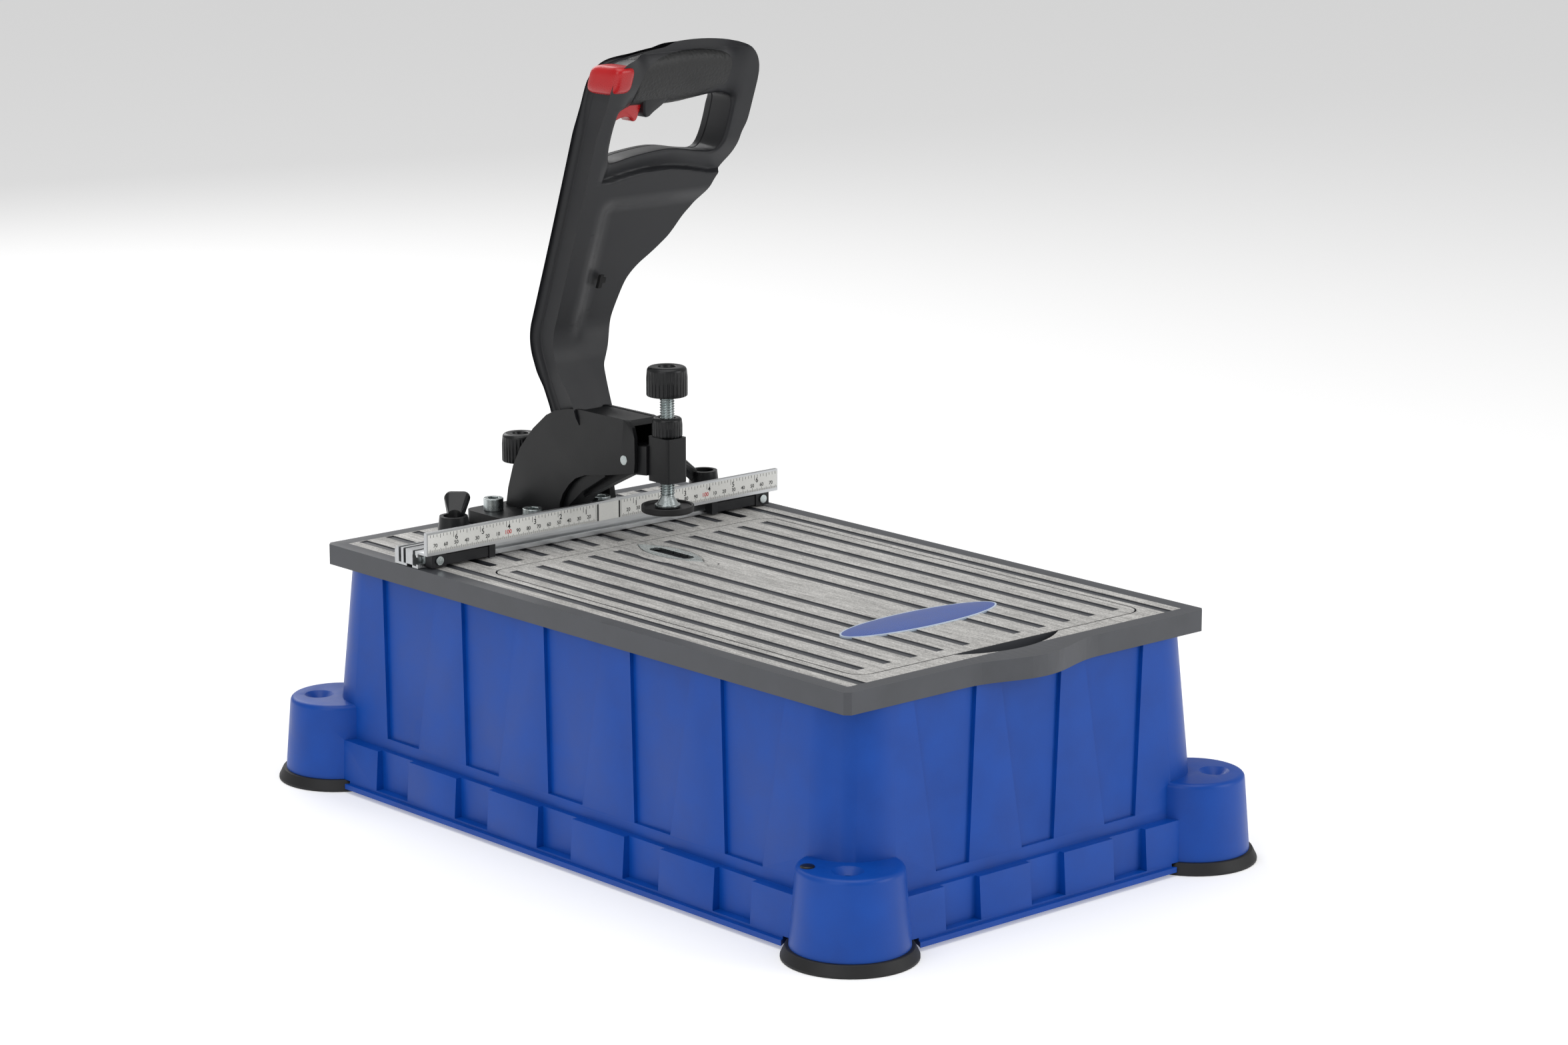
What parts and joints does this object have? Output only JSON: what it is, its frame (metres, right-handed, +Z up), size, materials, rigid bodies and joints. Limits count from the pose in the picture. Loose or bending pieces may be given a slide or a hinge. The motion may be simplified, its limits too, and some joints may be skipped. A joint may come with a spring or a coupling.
{
  "type": "bench pocket-hole drilling machine",
  "caption": "Bench pocket-hole drilling machine: moulded base, ribbed table with lid, ruler fence, pull lever with D-handle, clamp and a slanted drill under the table.",
  "frame": {"origin": "on the floor under the middle of the four rubber feet", "axes": "+Z up, -Y towards the operator, +X to the operator's right"},
  "size_m": [0.4404, 0.6924, 0.5721],
  "materials": {
    "blue_plastic": "satin",
    "rubber": "matte",
    "composite": "satin",
    "black_plastic": "satin",
    "soft_grip": "matte",
    "badge_blue": "gloss",
    "red_plastic": "satin",
    "aluminium": "satin",
    "tape": "satin",
    "zinc_steel": "satin",
    "black_cast": "satin",
    "steel": "satin",
    "bronze": "satin",
    "cast_alloy": "satin",
    "copper_core": "satin"
  },
  "bodies": {
    "base": {"base_tub": "blue_plastic", "rubber_feet": "rubber", "bottom_plate": "black_cast", "power_inlet": "black_plastic", "table_frame": "composite", "table_screws": "zinc_steel", "lid_hinge_pins": "zinc_steel", "pedestal": "black_cast", "cap_screws": "zinc_steel", "pedestal_nuts": "zinc_steel", "pivot_pin": "zinc_steel", "crank_pin": "zinc_steel", "crank_bracket": "black_cast", "guide_rods": "steel", "rod_bracket_front": "black_cast", "rod_bracket_rear": "black_cast"},
    "lid": {"access_lid": "composite", "drill_insert": "steel", "badge_plate": "badge_blue"},
    "fence": {"fence_extrusion": "aluminium", "ruler_tape": "tape", "fence_bolts": "zinc_steel"},
    "left_wing": {"wing_knob_left": "black_plastic"},
    "right_wing": {"wing_knob_right": "black_plastic"},
    "left_stop": {"stop_left": "black_plastic", "stop_screw_left": "zinc_steel"},
    "right_stop": {"stop_right": "black_plastic", "stop_screw_right": "zinc_steel"},
    "lever": {"lever_head": "black_cast", "link_top_pin": "zinc_steel", "handle_front_shell": "black_plastic", "handle_back_shell": "black_plastic", "grip_sleeve": "soft_grip", "handle_screws": "zinc_steel", "trigger_pin": "zinc_steel", "handle_switch": "black_plastic"},
    "stop_screw": {"stop_rod": "zinc_steel", "stop_knob": "black_plastic"},
    "lock_button": {"lock_button": "red_plastic"},
    "trigger": {"trigger": "red_plastic"},
    "link": {"drive_link": "steel"},
    "crank": {"bell_crank": "steel", "link_bottom_pin": "zinc_steel", "crank_roller": "bronze"},
    "clamp": {"clamp_arm": "black_cast"},
    "lock_nut": {"jam_nut": "black_plastic"},
    "clamp_nose": {"swivel_cone": "zinc_steel"},
    "clamp_pad": {"rubber_pad": "rubber"},
    "clamp_spindle": {"clamp_screw": "zinc_steel", "clamp_knob": "black_plastic"},
    "drill_carriage": {"carriage": "cast_alloy", "push_arm": "steel", "rod_bushings": "bronze", "motor_housing": "black_plastic", "motor_end_cap": "black_plastic", "gearbox_case": "cast_alloy"},
    "armature": {"motor_armature": "copper_core"},
    "spindle": {"chuck": "steel", "drill_bit": "steel"}
  },
  "joints": [
    {"name": "lever_pull", "type": "hinge", "parent": "base", "child": "lever", "pos_m": [0, 0.132, 0.259], "axis": [1, 0, 0], "range_deg": [0, 30]},
    {"name": "link_swing", "type": "hinge", "parent": "lever", "child": "link", "pos_m": [0, 0.252, 0.227], "axis": [1, 0, 0], "range_deg": [-31, 0]},
    {"name": "crank_turn", "type": "hinge", "parent": "base", "child": "crank", "pos_m": [0, 0.1704, 0.118], "axis": [1, 0, 0], "range_deg": [0, 44]},
    {"name": "carriage_feed", "type": "slide", "parent": "base", "child": "drill_carriage", "axis": [0, 0.9659, 0.2588], "range_m": [0, 0.0645]},
    {"name": "clamp_press", "type": "hinge", "parent": "base", "child": "clamp", "pos_m": [0, 0.132, 0.259], "axis": [1, 0, 0], "range_deg": [0, 12.5]},
    {"name": "screw_feed", "type": "slide", "parent": "clamp", "child": "clamp_nose", "axis": [0, 0, -1], "range_m": [-0.0035, 0.007]},
    {"name": "screw_turn", "type": "hinge", "parent": "clamp_nose", "child": "clamp_spindle", "pos_m": [0, 0.098, 0.28], "axis": [0, 0, -1], "range_deg": [-725, 1445]},
    {"name": "pad_tilt", "type": "hinge", "parent": "clamp_nose", "child": "clamp_pad", "pos_m": [0, 0.098, 0.226], "axis": [1, 0, 0], "range_deg": [-3, 3]},
    {"name": "lock_nut_turn", "type": "hinge", "parent": "clamp", "child": "lock_nut", "pos_m": [0, 0.098, 0.288], "axis": [0, 0, 1], "range_deg": [-180, 180]},
    {"name": "stop_screw_turn", "type": "hinge", "parent": "lever", "child": "stop_screw", "pos_m": [0, 0.281, 0.24], "axis": [0, 0, 1], "range_deg": [-360, 360]},
    {"name": "trigger_squeeze", "type": "hinge", "parent": "lever", "child": "trigger", "pos_m": [-0.001, 0.15469, 0.535], "axis": [0, -1, 0], "range_deg": [0, 10], "stiffness_Nm_per_rad": 0.25, "springref_deg": -11.46},
    {"name": "button_press", "type": "slide", "parent": "lever", "child": "lock_button", "axis": [1, 0, 0], "range_m": [0, 0.003], "stiffness_N_per_m": 250, "springref_m": -0.002},
    {"name": "lid_lift", "type": "hinge", "parent": "base", "child": "lid", "pos_m": [0, 0.135, 0.185], "axis": [1, 0, 0], "range_deg": [-25, 0]},
    {"name": "fence_slide", "type": "slide", "parent": "base", "child": "fence", "axis": [0, 1, 0], "range_m": [-0.036, 0]},
    {"name": "left_wing_turn", "type": "hinge", "parent": "fence", "child": "left_wing", "pos_m": [-0.127, 0.2034, 0.215], "axis": [0, 0, 1], "range_deg": [-90, 90]},
    {"name": "right_wing_turn", "type": "hinge", "parent": "fence", "child": "right_wing", "pos_m": [0.127, 0.2034, 0.215], "axis": [0, 0, 1], "range_deg": [-90, 90]},
    {"name": "left_stop_slide", "type": "slide", "parent": "fence", "child": "left_stop", "axis": [1, 0, 0], "range_m": [0, 0.09]},
    {"name": "right_stop_slide", "type": "slide", "parent": "fence", "child": "right_stop", "axis": [-1, 0, 0], "range_m": [0, 0.09]},
    {"name": "armature_spin", "type": "hinge", "parent": "drill_carriage", "child": "armature", "pos_m": [0, 0.095, 0.189], "axis": [0, 0.9659, 0.2588], "continuous": true},
    {"name": "spindle_spin", "type": "hinge", "parent": "drill_carriage", "child": "spindle", "pos_m": [0, 0.095, 0.189], "axis": [0, 0.9659, 0.2588], "continuous": true}
  ],
  "couplings": [
    {"joint": "link_swing", "follows": "lever_pull", "ratio": -1},
    {"joint": "crank_turn", "follows": "lever_pull", "ratio": 1.4333},
    {"joint": "carriage_feed", "follows": "lever_pull", "m_per_rad": 0.1228},
    {"joint": "clamp_press", "follows": "lever_pull", "ratio": 0.4},
    {"joint": "screw_turn", "follows": "screw_feed", "rad_per_m": 3590.4},
    {"joint": "spindle_spin", "follows": "armature_spin", "ratio": 0.2}
  ]
}
